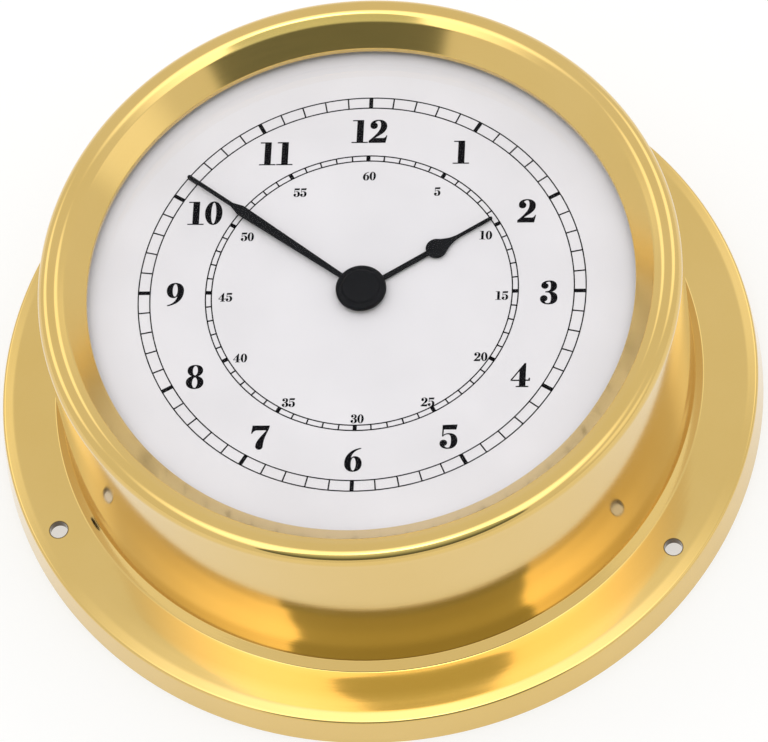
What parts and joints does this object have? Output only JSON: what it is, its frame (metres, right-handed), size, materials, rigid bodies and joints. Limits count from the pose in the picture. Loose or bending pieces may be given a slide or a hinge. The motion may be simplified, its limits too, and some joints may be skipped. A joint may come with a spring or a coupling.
{
  "type": "ships clock",
  "caption": "Round brass bulkhead clock: a flanged drum case with a domed crystal, a white numbered dial, black hands and a battery movement behind.",
  "frame": {"origin": "centre of the flange's back plane, on the clock's axis, where the case rests on a wall or a table", "axes": "+Z along the clock's axis out of the dial, +Y towards twelve o'clock, +X towards three o'clock"},
  "size_m": [0.12, 0.12, 0.0406],
  "materials": {
    "case_brass": "spun and polished",
    "machined_brass": "turned",
    "steel": "satin, nickel plated",
    "crystal": "clear moulded acrylic",
    "gasket_rubber": "moulded",
    "dial_white": "matt white paint, printed in black",
    "hand_black": "satin black paint",
    "black_plastic": "moulded, fine grained",
    "wheel_plastic": "moulded, natural",
    "knob_plastic": "moulded, fluted",
    "circuit_board": "green lacquered laminate",
    "copper_wire": "enamelled winding",
    "magnet": "sintered",
    "cell_sleeve": "glossy printed sleeve"
  },
  "bodies": {
    "case": {"case_shell": "case_brass", "crystal_gasket": "gasket_rubber", "crystal": "crystal", "dial_plate": "dial_white", "movement_carrier": "black_plastic", "snap_ring": "steel", "carrier_screw_left": "steel", "carrier_screw_right": "steel", "movement_housing": "black_plastic", "movement_cover": "black_plastic", "centre_bush": "machined_brass", "positive_contact": "steel", "negative_contact": "steel", "motor_screw_left": "steel", "motor_screw_right": "steel", "stator": "steel", "coil_core": "steel", "coil_bobbin": "black_plastic", "coil_winding": "copper_wire", "circuit_board": "circuit_board", "quartz_can": "steel", "chip_cover": "black_plastic"},
    "minute_set": {"minute_arbor": "machined_brass", "clutch_washer": "steel", "minute_hand": "hand_black", "hub_cap": "hand_black"},
    "hour_set": {"hour_wheel": "wheel_plastic", "hour_hand": "hand_black"},
    "motion_wheel": {"minute_wheel": "wheel_plastic"},
    "setting_set": {"setting_arbor": "wheel_plastic", "setting_knob": "knob_plastic"},
    "centre_set": {"centre_wheel": "wheel_plastic"},
    "third_set": {"third_wheel": "wheel_plastic"},
    "seconds_set": {"seconds_wheel": "wheel_plastic"},
    "intermediate_set": {"intermediate_wheel": "wheel_plastic"},
    "rotor_set": {"rotor_arbor": "steel", "rotor_magnet": "magnet"},
    "cell": {"battery_can": "cell_sleeve", "battery_cap": "steel"}
  },
  "joints": [
    {"name": "minute_turn", "type": "hinge", "parent": "case", "child": "minute_set", "pos_m": [0, 0, 0.0357], "axis": [0, 0, -1], "continuous": true},
    {"name": "hour_turn", "type": "hinge", "parent": "case", "child": "hour_set", "pos_m": [0, 0, 0.0352], "axis": [0, 0, -1], "continuous": true},
    {"name": "motion_turn", "type": "hinge", "parent": "case", "child": "motion_wheel", "pos_m": [0.008, 0, 0.0284], "axis": [0, 0, -1], "continuous": true},
    {"name": "setting_turn", "type": "hinge", "parent": "case", "child": "setting_set", "pos_m": [0.016, 0, 0.0148], "axis": [0, 0, -1], "continuous": true},
    {"name": "seconds_turn", "type": "hinge", "parent": "case", "child": "seconds_set", "pos_m": [0.00161, 0.01195, 0.0224], "axis": [0, 0, -1], "continuous": true},
    {"name": "third_turn", "type": "hinge", "parent": "case", "child": "third_set", "pos_m": [-0.00764, 0.00764, 0.0244], "axis": [0, 0, -1], "continuous": true},
    {"name": "centre_turn", "type": "hinge", "parent": "case", "child": "centre_set", "pos_m": [0, 0, 0.0264], "axis": [0, 0, -1], "continuous": true},
    {"name": "intermediate_turn", "type": "hinge", "parent": "case", "child": "intermediate_set", "pos_m": [0.00881, 0.01195, 0.0204], "axis": [0, 0, -1], "continuous": true},
    {"name": "rotor_turn", "type": "hinge", "parent": "case", "child": "rotor_set", "pos_m": [0.01426, 0.0151, 0.0247], "axis": [0, 0, -1], "continuous": true},
    {"name": "cell_slide", "type": "slide", "parent": "case", "child": "cell", "axis": [0, 0, -1], "range_m": [0, 0.03]}
  ],
  "couplings": [
    {"joint": "hour_turn", "follows": "minute_turn", "ratio": 0.083333},
    {"joint": "motion_turn", "follows": "minute_turn", "ratio": -0.33333},
    {"joint": "setting_turn", "follows": "minute_turn", "ratio": 1},
    {"joint": "third_turn", "follows": "seconds_turn", "ratio": -0.13333},
    {"joint": "centre_turn", "follows": "seconds_turn", "ratio": 0.016667},
    {"joint": "intermediate_turn", "follows": "seconds_turn", "ratio": -5},
    {"joint": "rotor_turn", "follows": "seconds_turn", "ratio": 30}
  ]
}
